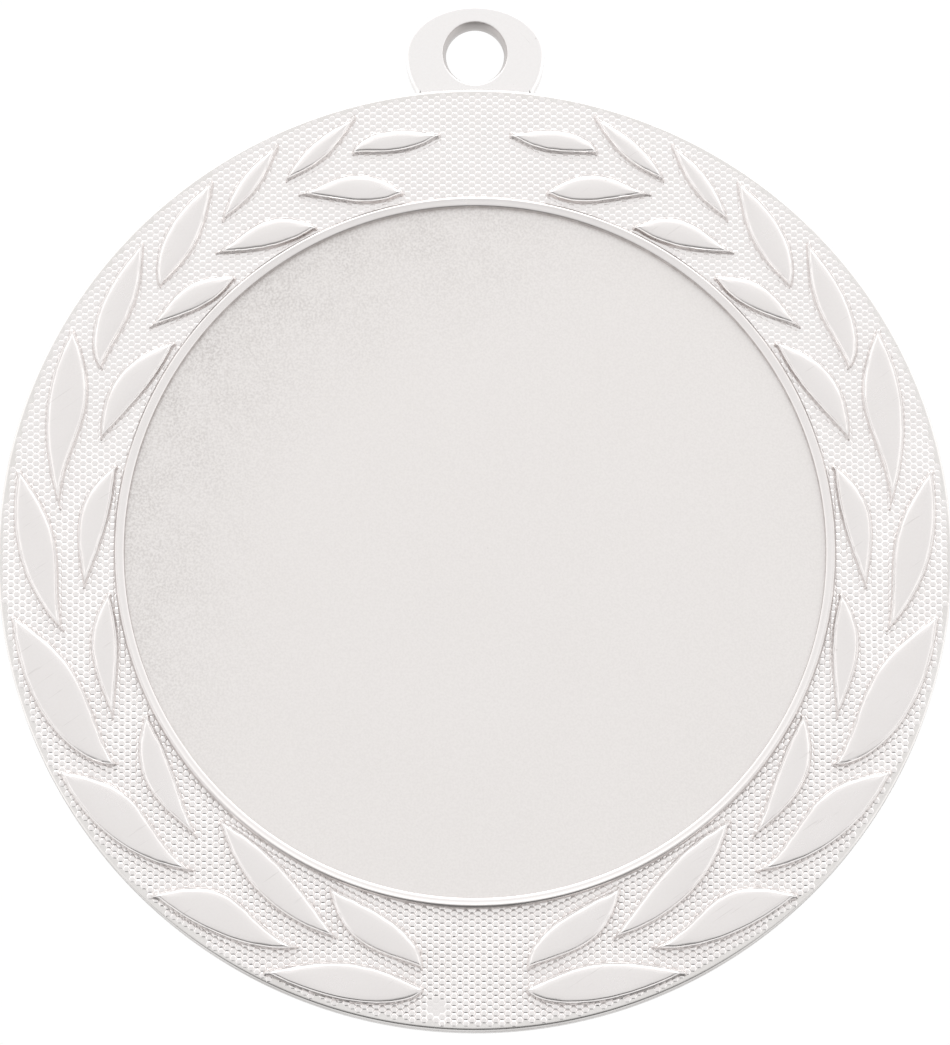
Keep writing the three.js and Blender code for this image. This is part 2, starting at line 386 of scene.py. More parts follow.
# %% [markdown]
# ## The hanging eye
#
# The eye is a flat lug that is thinner than the disc and flush with its back. Its outline
# is half an ellipse over two flanks that draw in and then flare into the disc's edge. The
# hole is drafted from both faces, as two core pins that meet in the middle make it, so
# its wall has a faint ridge. Cutting the hole with a Boolean would leave a ragged mesh
# round it, so the face grows outwards from the hole, ring by ring. Rounding the corners
# last gives the soft bright edge of a tumbled casting.

# %% Work out the eye's outline
EYE_NECK_Z = disc_high.z
EYE_FOOT_Z = EYE_NECK_Z - 1.9
FOOT_SQUARENESS = 4  # the buried foot is a squared-off ellipse
FLANK_DROP = 5.7  # the flanks are part of a half ellipse that would reach this far down
FLARE_TOP_Z, FLARE_DROP, FLARE_WIDTH = EYE_NECK_Z + 0.35, 1.12, 0.5


def flank_x(z):
    """Half the eye's width below the hole's centre: it draws in and then flares."""
    x = EYE_HALF_WIDTH * math.sqrt(1 - (max(z, EYE_NECK_Z) / FLANK_DROP) ** 2)
    return x + FLARE_WIDTH * smoothstep(0, FLARE_DROP, FLARE_TOP_Z - z)


def eye_outline(angle):
    """The outline's x and z at an angle round the hole's centre."""
    if angle >= 0:
        return EYE_HALF_WIDTH * math.cos(angle), EYE_CROWN * math.sin(angle)
    down = -math.sin(angle)
    z = EYE_FOOT_Z * down
    closing = (1 - down**FOOT_SQUARENESS) ** (1 / FOOT_SQUARENESS)
    return math.copysign(flank_x(z) * closing, math.cos(angle)), z


print("eye's neck, mm wide:", round(2 * flank_x(EYE_NECK_Z), 2))

# %% Grow the face outwards from the hole
EYE_POINTS = 160
HOLE_FRONT_RADIUS = 2.4
EYE_EDGE_ROUND, HOLE_EDGE_ROUND = 0.28, 0.09
HOLE_INSET, EDGE_INSET = HOLE_EDGE_ROUND + SUPPORT, EYE_EDGE_ROUND + SUPPORT


def pushed(point, distance):
    """The point, this much further from the hole's axis."""
    return point * (1 + distance / point.length)


def ring_outside(bm, edges, place):
    """Extrudes a ring of edges and puts each new point where place(old point) says."""
    made = bmesh.ops.extrude_edge_only(bm, edges=edges)["geom"]
    verts = {part for part in made if isinstance(part, bmesh.types.BMVert)}
    for vert in verts:
        vert.co.x, vert.co.z = place(Vector((vert.co.x, vert.co.z)))
    return [edge for edge in bm.edges if verts.issuperset(edge.verts)]


bm = bmesh.new()
upright = Matrix.Rotation(math.pi / 2, 4, "X")
bmesh.ops.create_circle(bm, segments=EYE_POINTS, radius=HOLE_FRONT_RADIUS, matrix=upright)
ring = bm.edges[:]
for place in (
    lambda point: pushed(point, HOLE_INSET),
    lambda point: pushed(Vector(eye_outline(math.atan2(point.y, point.x))), -EDGE_INSET),
    lambda point: pushed(point, EDGE_INSET),
):
    ring = ring_outside(bm, ring, place)
bmesh.ops.translate(bm, vec=(0, EYE_FRONT_Y, 0), verts=bm.verts)
print("faces on the eye's front:", len(bm.faces))

# %% Give the eye its thickness and its hole the draft
HOLE_MIDDLE_RADIUS, HOLE_BACK_RADIUS = 2.17, 2.2
face = bm.faces[:]
thickened = bmesh.ops.extrude_face_region(bm, geom=face, use_keep_orig=True)["geom"]
back_verts = [part for part in thickened if isinstance(part, bmesh.types.BMVert)]
bmesh.ops.translate(bm, vec=(0, EYE_BACK_Y - EYE_FRONT_Y, 0), verts=back_verts)


def on_hole(vert):
    return abs(math.hypot(vert.co.x, vert.co.z) - HOLE_FRONT_RADIUS) < SAME_PLACE


def goes_through(edge):
    """Whether the edge crosses the hole's wall from front to back."""
    front_to_back = abs(edge.verts[0].co.y - edge.verts[1].co.y) > SAME_PLACE
    return front_to_back and all(on_hole(vert) for vert in edge.verts)


wall_edges = [edge for edge in bm.edges if goes_through(edge)]
made = bmesh.ops.subdivide_edges(bm, edges=wall_edges, cuts=1)["geom_inner"]
middle_verts = [part for part in made if isinstance(part, bmesh.types.BMVert)]
back_hole = [v for v in bm.verts if on_hole(v) and v.co.y > EYE_BACK_Y - SAME_PLACE]
for verts, radius in ((middle_verts, HOLE_MIDDLE_RADIUS), (back_hole, HOLE_BACK_RADIUS)):
    share = radius / HOLE_FRONT_RADIUS
    bmesh.ops.scale(bm, vec=(share, 1, share), verts=verts)
print("points round the middle of the hole's wall:", len(middle_verts))

# %% Round the eye's corners
EYE_CORNERS = (  # nearest, furthest from the hole's centre, how much is rounded off
    (3.0, 9.0, EYE_EDGE_ROUND), (1.5, 2.6, HOLE_EDGE_ROUND),
)
SHARP = 0.5  # faces that meet at more than this many radians make a corner


def corner_ring(y, low, high):
    """The sharp edges at y, between two distances from the hole's centre."""
    def wanted(vert):
        away = math.hypot(vert.co.x, vert.co.z)
        return abs(vert.co.y - y) < SAME_PLACE and low < away < high

    return [
        edge for edge in bm.edges
        if all(wanted(vert) for vert in edge.verts) and len(edge.link_faces) == 2
        and edge.calc_face_angle() > SHARP
    ]


for y in (EYE_FRONT_Y, EYE_BACK_Y):
    for low, high, offset in EYE_CORNERS:
        bmesh.ops.bevel(
            bm, geom=corner_ring(y, low, high), offset=offset, segments=5, profile=0.5,
            affect="EDGES", material=-1,
        )
eye_plate = finish_piece(bm, "eye_plate", ["hanging_eye"])
print("eye, mm:", [round(v * MM_PER_M, 2) for v in eye_plate.dimensions])

# %% [markdown]
# ## The leaves
#
# Twenty leaves run up each side in two rows, and the left side mirrors the right. No two
# on a side are alike, so one leaf can't be copied. A place on the band is an angle from
# 12 o'clock and a share of the band's width, and a leaf is a line between two such places
# with a bulge on each side. Sculpting would lose the crisp edge that catches the light,
# so the surface is a grid that is laid along that line. How high a point of the grid
# stands depends only on how far inside the outline it is: a steep wall, a raised lip with
# a small dip behind it, and then a low crown.

# %% The right-hand half of the wreath, from the top down
# Each leaf: tip, base, the bulge towards the medal's centre, the bulge towards its edge.
OUTER_LEAVES = [
    ([4.6, 0.58], [16.9, 0.55], [0.1, 0.58], [0.135, 0.35]),
    ([15, 0.88], [26.7, 0.54], [0.13, 0.56], [0.08, 0.4]),
    ([25.3, 0.88], [37, 0.53], [0.125, 0.56], [0.08, 0.46]),
    ([34.8, 0.88], [49.5, 0.47], [0.175, 0.56], [0.15, 0.38]),
    ([46.5, 0.86], [63.5, 0.49], [0.16, 0.61], [0.155, 0.33]),
    ([60.5, 0.89], [84, 0.48], [0.27, 0.67], [0.1, 0.55]),
    ([79.5, 0.89], [101, 0.49], [0.23, 0.63], [0.125, 0.48]),
    ([97.8, 0.9], [121, 0.47], [0.26, 0.63], [0.205, 0.36]),
    ([118, 0.92], [139, 0.55], [0.265, 0.67], [0.135, 0.47]),
    ([137, 0.93], [156.3, 0.62], [0.29, 0.67], [0.085, 0.4]),
    ([153.5, 0.93], [173.5, 0.68], [0.22, 0.53], [0.13, 0.3]),
]
INNER_LEAVES = [
    ([11, 0.09], [26, 0.38], [0.13, 0.57], [0.165, 0.61]),
    ([25.5, 0.04], [40.5, 0.34], [0.125, 0.5], [0.165, 0.63]),
    ([40.5, 0.06], [55, 0.32], [0.13, 0.54], [0.14, 0.6]),
    ([54.5, 0.06], [73, 0.26], [0.1, 0.54], [0.19, 0.53]),
    ([76, 0.07], [95.3, 0.27], [0.105, 0.51], [0.16, 0.61]),
    ([96.3, 0.06], [115, 0.32], [0.12, 0.53], [0.13, 0.62]),
    ([116.5, 0.05], [136.3, 0.33], [0.085, 0.56], [0.185, 0.6]),
    ([136.8, 0.09], [160.5, 0.44], [0.18, 0.5], [0.13, 0.52]),
    ([156.8, 0.07], [173, 0.53], [0.21, 0.28], [0.155, 0.64]),
]

# %% Places on the band and a leaf's half widths
LEAF_FULLNESS = 0.8
TIP_ROUND, BASE_ROUND = 0.26, 0.12
TIP_FADE, BASE_FADE = 0.5, 0.3  # a round end blends into the sides over this many mm
END_SHARE = 0.3  # and stays within this share of the leaf's length


def band_place(degrees, share):
    """x and z of a place on the band, in mm. Both may be arrays."""
    angle = np.radians(degrees)
    inner = RIM_RADIUS + (SEAT_Z - DISC_Z) * np.cos(angle)
    radius = inner + share * (DISC_RADIUS - inner)
    return np.stack([radius * np.sin(angle), DISC_Z + radius * np.cos(angle)], axis=-1)


def round_end(distance, radius):
    inside = np.clip(distance, 0, radius)
    return np.sqrt(np.maximum(0, 2 * radius * inside - inside**2))


def end_width(share, length, radius, fade):
    """The half width of a round end, at shares of the leaf's length from that end."""
    distance = share * length
    near = (share < END_SHARE) * np.clip(1 - (distance - radius) / fade, 0, 1)
    return round_end(distance, radius) * near


def half_width(along, bulge, fullest, length):
    """How far a side stands off the midline, in mm, at shares of the way to the tip."""
    skew = math.log(0.5) / math.log(fullest)
    arch = np.maximum(0, np.sin(math.pi * along**skew)) ** LEAF_FULLNESS
    tip = end_width(1 - along, length, TIP_ROUND, TIP_FADE)
    base = end_width(along, length, BASE_ROUND, BASE_FADE)
    return ((bulge * BAND_WIDTH * arch) ** 4 + tip**4 + base**4) ** 0.25


# %% How high a leaf stands, by the distance inside its outline
LEAF_SECTION = (  # mm inside the outline, mm above the ground
    (0.0, 0.0), (0.07, 0.19), (0.14, 0.385),  # the steep wall
    (0.16, 0.392), (0.235, 0.364),  # the lip and the dip behind it
    (0.285, 0.430), (0.31, 0.447),  # the step up to the face
    (0.61, 0.505), (0.66, 0.510), (2.0, 0.545),  # the low crown
)


def leaf_height(inside):
    return np.interp(inside, *zip(*LEAF_SECTION))


print("leaf's height, mm, at its lip and 1 mm inside:", leaf_height([0.16, 1.0]).round(3))

# %% How far inside the outline a point is


def distance_inside(places, outline):
    """Each place's distance to the nearest segment of the closed outline."""
    start, end = outline, np.roll(outline, -1, axis=0)
    run = end - start
    length2 = np.maximum((run**2).sum(1), 1e-12)
    offset = places[:, None, :] - start[None]
    share = np.clip((offset * run[None]).sum(2) / length2[None], 0, 1)
    return np.sqrt(((offset - share[..., None] * run[None]) ** 2).sum(2)).min(1)


# %% Lay a grid along a leaf and lift it
COLUMN_DEPTHS = (  # how far inside the outline each column lies
    0, 0.035, 0.07, 0.105, 0.14, 0.16, 0.20, 0.235, 0.26, 0.285, 0.31, 0.45,
    0.59, 0.67, 1.10, 3.0,
)
LEAF_ROWS, LEAF_COLUMNS = 64, 2 * (len(COLUMN_DEPTHS) - 1)
LEAF_FOOT_Y = GROOVE_Y + 0.05


def leaf_places(shape, rows, across):
    """x and z for shares of the way along (0 to 1) and across (-1 to 1)."""
    tip, base, centre_side, edge_side = shape
    along = (1 - np.cos(math.pi * rows)) / 2
    ends = band_place(np.array([tip[0], base[0]]), np.array([tip[1], base[1]]))
    length = float(np.hypot(*(ends[0] - ends[1])))
    inward = half_width(along, *centre_side, length)
    outward = half_width(along, *edge_side, length)
    half = (inward + outward) / 2
    column = 1 - np.abs(across)
    depth = np.interp(column, np.linspace(0, 1, len(COLUMN_DEPTHS)), COLUMN_DEPTHS)
    from_edge = np.minimum(depth, half * column)
    offset = (outward - inward) / 2 + np.sign(across) * (half - from_edge)
    share = base[1] + (tip[1] - base[1]) * along + offset / BAND_WIDTH
    return band_place(base[0] + (tip[0] - base[0]) * along, share)


def leaf_outline(shape):
    walk = np.linspace(0, 1, 4 * LEAF_ROWS)
    there = leaf_places(shape, walk, np.ones_like(walk))
    back = leaf_places(shape, walk[::-1], -np.ones_like(walk))
    return np.concatenate([there, back])


# %% Make a leaf
CAST_WAVE_HEIGHT, CAST_WAVES_PER_MM, CAST_WAVES_Y = 0.008, 0.7, 5.0
CAST_WAVES_FROM = 0.3  # the face only waves this far inside the outline
LIP_WANDER, LIP_WAVES_PER_MM, LIP_WAVES_Y = 0.022, 1.6, 9.0
LIP_WANDERS_FROM = 0.05  # the foot of the wall stays on the outline


def leaf_piece(name, node, shape, side):
    def waves(place, y, waves_per_mm):
        return noise.noise(Vector((side * place[0], y, place[1])) * waves_per_mm)

    bm = bmesh.new()
    bmesh.ops.create_grid(bm, x_segments=LEAF_ROWS, y_segments=LEAF_COLUMNS, size=0.5)
    rows = np.array([vert.co.x + 0.5 for vert in bm.verts])
    across = np.clip(np.array([2 * vert.co.y for vert in bm.verts]), -1, 1)
    places = leaf_places(shape, rows, across)
    inside = distance_inside(places, leaf_outline(shape))
    inside[np.abs(across) > 0.999] = 0
    wander = np.array([waves(place, LIP_WAVES_Y, LIP_WAVES_PER_MM) for place in places])
    wander *= LIP_WANDER * np.clip((inside - LIP_WANDERS_FROM) / LIP_WANDERS_FROM, 0, 1)
    heights = leaf_height(inside + wander)
    for vert, place, height, depth in zip(bm.verts, places, heights, inside):
        wave = waves(place, CAST_WAVES_Y, CAST_WAVES_PER_MM)
        height += CAST_WAVE_HEIGHT * wave * min(1.0, depth / CAST_WAVES_FROM)
        vert.co = (side * place[0], GROUND_Y - height, place[1])
    bmesh.ops.remove_doubles(bm, verts=bm.verts, dist=MERGE_MM)
    boundary = [edge for edge in bm.edges if edge.is_boundary]
    wall = bmesh.ops.extrude_edge_only(bm, edges=boundary)["geom"]
    feet = [part for part in wall if isinstance(part, bmesh.types.BMVert)]
    bmesh.ops.translate(bm, vec=(0, LEAF_FOOT_Y - GROUND_Y, 0), verts=feet)
    bmesh.ops.holes_fill(bm, edges=[edge for edge in bm.edges if edge.is_boundary])
    return finish_piece(bm, name, [node])


# %% Make both sprays
leaves = []
for side, side_name in ((1, "right"), (-1, "left")):
    for row, shapes in (("outer", OUTER_LEAVES), ("inner", INNER_LEAVES)):
        for number, shape in enumerate(shapes, start=1):
            label = f"{side_name}_{row}_{number:02d}"
            leaves.append(leaf_piece(f"relief_{label}", f"leaf_{label}", shape, side))
print("leaves:", len(leaves), "triangles each:",
      sum(len(face.vertices) - 2 for face in leaves[0].data.polygons))

# %% [markdown]
# ## The silver finish
#
# All of the medal is plated in the same bright silver, but the casting under it differs:
# the seat is blasted, the leaves are nearly polished, and the ground keeps the mould's
# skin. Six separate materials would repeat the same nodes six times. So the effects are
# built once, as node groups with named inputs, and each material sets its own values. The
# patterns read the object's own coordinates, in millimetres.

# %% Small helpers for node trees
def set_inputs(tree, node, values):
    """Links or sets a node's inputs, each given by its name or number."""
    for key, value in values.items():
        if isinstance(value, bpy.types.NodeSocket):
            tree.links.new(value, node.inputs[key])
        else:
            node.inputs[key].default_value = value


def add_node(tree, kind, values=None, **settings):
    node = tree.nodes.new(kind)
    for key, value in settings.items():
        setattr(node, key, value)
    set_inputs(tree, node, values or {})
    return node


def new_group(name, inputs, outputs):
    """An empty node group. inputs and outputs are (name, kind of socket, value)."""
    print("node group:", name)
    tree = bpy.data.node_groups.new(name, "ShaderNodeTree")
    for direction, sockets in (("INPUT", inputs), ("OUTPUT", outputs)):
        for label, kind, value in sockets:
            socket = tree.interface.new_socket(label, in_out=direction, socket_type=kind)
            if value is not None:
                socket.default_value = value
    given = tree.nodes.new("NodeGroupInput").outputs
    return tree, given, tree.nodes.new("NodeGroupOutput")


# %% Group: clean and dull patches of plating
tree, given, result = new_group(
    "plating_patches",
    [("Place", "NodeSocketVector", None), ("Clean", "NodeSocketColor", (1, 1, 1, 1)),
     ("Dull", "NodeSocketColor", (1, 1, 1, 1)),
     ("Patches per mm", "NodeSocketFloat", 0.1),
     ("Smoothest", "NodeSocketFloat", 0.2), ("Roughest", "NodeSocketFloat", 0.4)],
    [("Color", "NodeSocketColor", None), ("Roughness", "NodeSocketFloat", None)],
)
patches = add_node(tree, "ShaderNodeTexNoise",
                   {"Vector": given["Place"], "Scale": given["Patches per mm"],
                    "Detail": 5.0, "Roughness": 0.62})
mask = add_node(tree, "ShaderNodeMapRange",
                {"Value": patches.outputs["Fac"], "From Min": 0.3, "From Max": 0.72})
MIX_SHARE, MIX_A, MIX_B, MIX_RESULT = 0, 6, 7, 2  # a Mix node's sockets for colours
colour = add_node(tree, "ShaderNodeMix", data_type="RGBA")
set_inputs(tree, colour, {
    MIX_SHARE: mask.outputs["Result"], MIX_A: given["Clean"], MIX_B: given["Dull"]})
rough = add_node(tree, "ShaderNodeMapRange",
                 {"Value": mask.outputs["Result"], "To Min": given["Smoothest"],
                  "To Max": given["Roughest"]})
tree.links.new(colour.outputs[MIX_RESULT], result.inputs["Color"])
tree.links.new(rough.outputs["Result"], result.inputs["Roughness"])
plating_patches = tree

# %% Group: the fine grain of the casting
tree, given, result = new_group(
    "cast_grain",
    [("Place", "NodeSocketVector", None), ("Grains per mm", "NodeSocketFloat", 5.0),
     ("Pits", "NodeSocketFloat", 0.3)],
    [("Height", "NodeSocketFloat", None), ("Shade", "NodeSocketFloat", None)],
)
grain = add_node(tree, "ShaderNodeTexNoise",
                 {"Vector": given["Place"], "Scale": given["Grains per mm"],
                  "Detail": 3.0, "Roughness": 0.6})
pits = add_node(tree, "ShaderNodeTexVoronoi",
                {"Vector": given["Place"], "Scale": given["Grains per mm"]},
                feature="SMOOTH_F1")
pit_depth = add_node(tree, "ShaderNodeMath",
                     {0: pits.outputs["Distance"], 1: given["Pits"]},
                     operation="MULTIPLY")
height = add_node(tree, "ShaderNodeMath",
                  {0: grain.outputs["Fac"], 1: pit_depth.outputs[0]}, operation="ADD")
shade = add_node(tree, "ShaderNodeMapRange",
                 {"Value": grain.outputs["Fac"], "From Min": 0.62, "From Max": 0.36})
tree.links.new(height.outputs[0], result.inputs["Height"])
tree.links.new(shade.outputs["Result"], result.inputs["Shade"])
cast_grain = tree

# %% Group: short hairlines and tiny specks from handling
HAIRLINE_STRETCH = (0.35, 1.0, 7.0)  # waves per mm along, through and across a hairline
SPECK_OUTSIDE, SPECK_INSIDE = 0.09, 0.04  # mm from its middle where a speck begins, is full

tree, given, result = new_group(
    "handling_marks",
    [("Place", "NodeSocketVector", None), ("Turn", "NodeSocketVector", (0, 0.6, 0)),
     ("Specks per mm", "NodeSocketFloat", 0.5)],
    [("Hairlines", "NodeSocketFloat", None), ("Specks", "NodeSocketFloat", None)],
)
turned_place = add_node(tree, "ShaderNodeVectorRotate",
                        {"Vector": given["Place"], "Rotation": given["Turn"]},
                        rotation_type="EULER_XYZ")
stretched = add_node(tree, "ShaderNodeVectorMath",
                     {0: turned_place.outputs[0], 1: HAIRLINE_STRETCH},
                     operation="MULTIPLY")
streaks = add_node(tree, "ShaderNodeTexNoise",
                   {"Vector": stretched.outputs[0], "Scale": 1.0, "Detail": 2.0})
hairlines = add_node(tree, "ShaderNodeMapRange",
                     {"Value": streaks.outputs["Fac"], "From Min": 0.68,
                      "From Max": 0.76})
dots = add_node(tree, "ShaderNodeTexVoronoi",
                {"Vector": given["Place"], "Scale": given["Specks per mm"]})
dot_mm = add_node(tree, "ShaderNodeMath",
                  {0: dots.outputs["Distance"], 1: given["Specks per mm"]},
                  operation="DIVIDE")
near_dot = add_node(tree, "ShaderNodeMapRange",
                    {"Value": dot_mm.outputs[0], "From Min": SPECK_OUTSIDE,
                     "From Max": SPECK_INSIDE})
tree.links.new(hairlines.outputs["Result"], result.inputs["Hairlines"])
tree.links.new(near_dot.outputs["Result"], result.inputs["Specks"])
handling_marks = tree

# %% A silver material from the three groups
SHADE_TINT = (0.55, 0.53, 0.52, 1)  # what fully shaded silver is multiplied by


def weighted_sum(tree, pairs):
    """The sum of masks, each times its weight."""
    total = None
    for mask, weight in pairs:
        values = {0: mask, 1: weight} | ({2: total} if total else {})
        operation = "MULTIPLY_ADD" if total else "MULTIPLY"
        total = add_node(tree, "ShaderNodeMath", values, operation=operation).outputs[0]
    return total


def use_group(tree, group, values):
    node = tree.nodes.new("ShaderNodeGroup")
    node.node_tree = group
    set_inputs(tree, node, values)
    return node.outputs


def silver_material(name, clean, dull, patches_per_mm, smoothest, roughest,
                    grains_per_mm, grain_depth_mm, pits=0.3, grain_shade=0.0,
                    hairlines=0.0, specks=0.0, specks_per_mm=0.5, turn=(0, 0.6, 0),
                    more_shade=None):
    """more_shade(tree, place, grain) may add its own (mask, weight) pairs."""
    material = bpy.data.materials.new(name)
    material.use_nodes = True
    tree = material.node_tree
    tree.nodes.clear()
    here = add_node(tree, "ShaderNodeTexCoord").outputs["Object"]
    place = add_node(tree, "ShaderNodeMapping",
                     {"Vector": here, "Scale": (MM_PER_M,) * 3}).outputs["Vector"]
    tone = use_group(tree, plating_patches, {
        "Place": place, "Clean": (*clean, 1), "Dull": (*dull, 1),
        "Patches per mm": patches_per_mm, "Smoothest": smoothest, "Roughest": roughest})
    grain = use_group(tree, cast_grain, {
        "Place": place, "Grains per mm": grains_per_mm, "Pits": pits})
    marks = use_group(tree, handling_marks, {
        "Place": place, "Turn": turn, "Specks per mm": specks_per_mm})
    pairs = [(grain["Shade"], grain_shade), (marks["Hairlines"], hairlines),
             (marks["Specks"], specks)]
    if more_shade:
        pairs += more_shade(tree, place, grain)
    shaded = add_node(tree, "ShaderNodeMix", data_type="RGBA", blend_type="MULTIPLY")
    set_inputs(tree, shaded, {
        MIX_SHARE: weighted_sum(tree, pairs), MIX_A: tone["Color"], MIX_B: SHADE_TINT})
    bump = add_node(tree, "ShaderNodeBump",
                    {"Height": grain["Height"], "Strength": 1.0,
                     "Distance": grain_depth_mm / MM_PER_M})
    surface = add_node(tree, "ShaderNodeBsdfPrincipled",
                       {"Base Color": shaded.outputs[MIX_RESULT], "Metallic": 1.0,
                        "Roughness": tone["Roughness"], "Normal": bump.outputs[0]})
    output = add_node(tree, "ShaderNodeOutputMaterial")
    tree.links.new(surface.outputs[0], output.inputs["Surface"])
    return material


# %% [markdown]
# ## Marks and painted shade that belong to one place
#
# Some darkening belongs to one place on the medal: the coarser blast and painted shade at
# one side of the seat, the darker wall of the hole, painted shade on the disc's side wall
# and painted shade at the foot of the rim's walls. They could be painted on, but a distance
# from the medal's own axis finds each place exactly. A mask is 1 where its mark is full,
# and the material adds all its masks up.

# %% Measure from an axis
def from_axis(tree, place, centre_z):
    """The vector and the distance from the line x = 0, z = centre_z, in mm."""
    centred = add_node(tree, "ShaderNodeVectorMath", {0: place, 1: (0, 0, -centre_z)})
    flat = add_node(tree, "ShaderNodeVectorMath",
                    {0: centred.outputs[0], 1: (1, 0, 1)}, operation="MULTIPLY")
    away = add_node(tree, "ShaderNodeVectorMath", {0: flat.outputs[0]},
                    operation="LENGTH")
    return flat.outputs[0], away.outputs["Value"]


def product(tree, one, other):
    node = add_node(tree, "ShaderNodeMath", {0: one, 1: other}, operation="MULTIPLY")
    return node.outputs[0]


# %% The seat's coarser side, with painted shade
UPPER_LEFT = (-0.78, 0, 0.62)


def coarse_blast_and_painted_shade(tree, place, grain):
    """The blast's grain is coarser towards the upper left of the seat, next to the rim, and
    the silver there is also darkened as painted shade.
    """
    around, away = from_axis(tree, place, SEAT_Z)
    across = add_node(tree, "ShaderNodeVectorMath",
                      {0: around, 1: UPPER_LEFT}, operation="DOT_PRODUCT")
    coarse = add_node(tree, "ShaderNodeMapRange",
                      {"Value": across.outputs["Value"], "From Min": 0.1 * SEAT_RADIUS,
                       "From Max": 0.95 * SEAT_RADIUS})
    near_rim = add_node(tree, "ShaderNodeMapRange",
                        {"Value": away, "From Min": 0.5 * SEAT_RADIUS,
                         "From Max": 0.95 * SEAT_RADIUS})
    both = product(tree, coarse.outputs["Result"], near_rim.outputs["Result"])
    cloud = add_node(tree, "ShaderNodeTexNoise",
                     {"Vector": place, "Scale": 0.35, "Detail": 4.0})
    cloudy = product(tree, both, cloud.outputs["Fac"])
    grainy = product(tree, cloudy, grain["Shade"])
    # grainy is the coarser grain itself; cloudy on its own is painted shade towards the
    # upper left, next to the rim
    return [(grainy, 0.75), (cloudy, 0.05)]


# %% The hole of the eye and the disc's side wall
def darker_hole_wall(tree, place, grain):
    """The wall of the eye's hole is made darker than the eye's faces."""
    _, away = from_axis(tree, place, 0)
    inside = add_node(tree, "ShaderNodeMapRange",
                      {"Value": away, "From Min": HOLE_FRONT_RADIUS + 0.04,
                       "From Max": HOLE_FRONT_RADIUS - 0.02})
    return [(inside.outputs["Result"], 1.0)]


def painted_shade_on_side_wall(tree, place, grain):
    """Painted shade on the disc's side wall: its silver is made darker all round."""
    _, away = from_axis(tree, place, DISC_Z)
    side = add_node(tree, "ShaderNodeMapRange",
                    {"Value": away, "From Min": WALL_RADIUS - 0.06,
                     "From Max": WALL_RADIUS - 0.01})
    # painted shade over the whole side wall
    return [(side.outputs["Result"], 0.4)]


# %% Painted shade along the rim's walls
RIM_WALL_SHADE_RINGS = (  # radius where the silver is clear, where the painted shade is full, how much
    (SEAT_RADIUS + 0.06, SEAT_RADIUS + 0.02, 1.3),
    (RIM_RADIUS - 0.25, RIM_RADIUS - 0.20, 0.7),
)


def painted_shade_on_rim_walls(tree, place, grain):
    """Painted shade at the foot of the rim's walls, streaky, stronger inside than outside.
    """
    around, away = from_axis(tree, place, SEAT_Z)
    streaks = add_node(tree, "ShaderNodeTexNoise",
                       {"Vector": around, "Scale": 1.3, "Detail": 5.0})
    pairs = []
    for clear, full_shade_radius, weight in RIM_WALL_SHADE_RINGS:
        wall = add_node(tree, "ShaderNodeMapRange",
                        {"Value": away, "From Min": clear, "From Max": full_shade_radius})
        streaky = product(tree, wall.outputs["Result"], streaks.outputs["Fac"])
        # each ring adds streaky painted shade at one foot of the rim
        pairs.append((streaky, weight))
    return pairs


# %% [markdown]
# ## Which finish goes where
#
# The blasted seat is the roughest, with grain of about a sixth of a millimetre. The
# leaves and the rim are bright and soft, with faint hairlines. The eye is satin, and the
# ground and the back keep a fine cast skin.

# %% Mix the finishes
finishes = {
    "blasted_seat": silver_material(
        "blasted_seat", clean=(0.835, 0.805, 0.789), dull=(0.810, 0.780, 0.763),
        patches_per_mm=0.05, smoothest=0.28, roughest=0.38,
        grains_per_mm=6.0, grain_depth_mm=0.005, pits=0.4, grain_shade=0.10,
        # the seat's coarser grain, with painted shade at its upper left
        specks=0.35, specks_per_mm=0.10, more_shade=coarse_blast_and_painted_shade),
    "stippled_ground": silver_material(
        "stippled_ground", clean=(0.855, 0.828, 0.818), dull=(0.82, 0.79, 0.78),
        patches_per_mm=0.3, smoothest=0.20, roughest=0.30,
        grains_per_mm=7.0, grain_depth_mm=0.003, grain_shade=0.04),
    "leaf_silver": silver_material(
        "leaf_silver", clean=(0.825, 0.795, 0.785), dull=(0.80, 0.77, 0.758),
        patches_per_mm=0.22, smoothest=0.26, roughest=0.34,
        grains_per_mm=6.0, grain_depth_mm=0.0012, pits=0.1, grain_shade=0.03,
        hairlines=0.22, specks=0.5, specks_per_mm=0.35),
    # the rim's walls get painted shade at their foot
    "rim_silver": silver_material(
        "rim_silver", clean=(0.825, 0.795, 0.785), dull=(0.80, 0.77, 0.758),
        patches_per_mm=0.22, smoothest=0.26, roughest=0.34,
        grains_per_mm=6.0, grain_depth_mm=0.0012, pits=0.1, grain_shade=0.03,
        more_shade=painted_shade_on_rim_walls),
    "eye_silver": silver_material(
        "eye_silver", clean=(0.875, 0.855, 0.848), dull=(0.85, 0.828, 0.82),
        patches_per_mm=0.4, smoothest=0.30, roughest=0.40,
        grains_per_mm=5.0, grain_depth_mm=0.002, grain_shade=0.04,
        hairlines=0.15, specks=0.3, specks_per_mm=0.5, turn=(0, -0.9, 0),
        more_shade=darker_hole_wall),
    # the disc's side wall gets painted shade
    "cast_skin": silver_material(
        "cast_skin", clean=(0.82, 0.80, 0.785), dull=(0.75, 0.725, 0.705),
        patches_per_mm=0.09, smoothest=0.22, roughest=0.36,
        grains_per_mm=3.5, grain_depth_mm=0.004, grain_shade=0.08,
        hairlines=0.3, specks=0.3, specks_per_mm=0.25, more_shade=painted_shade_on_side_wall),
}
print("finishes:", *finishes)

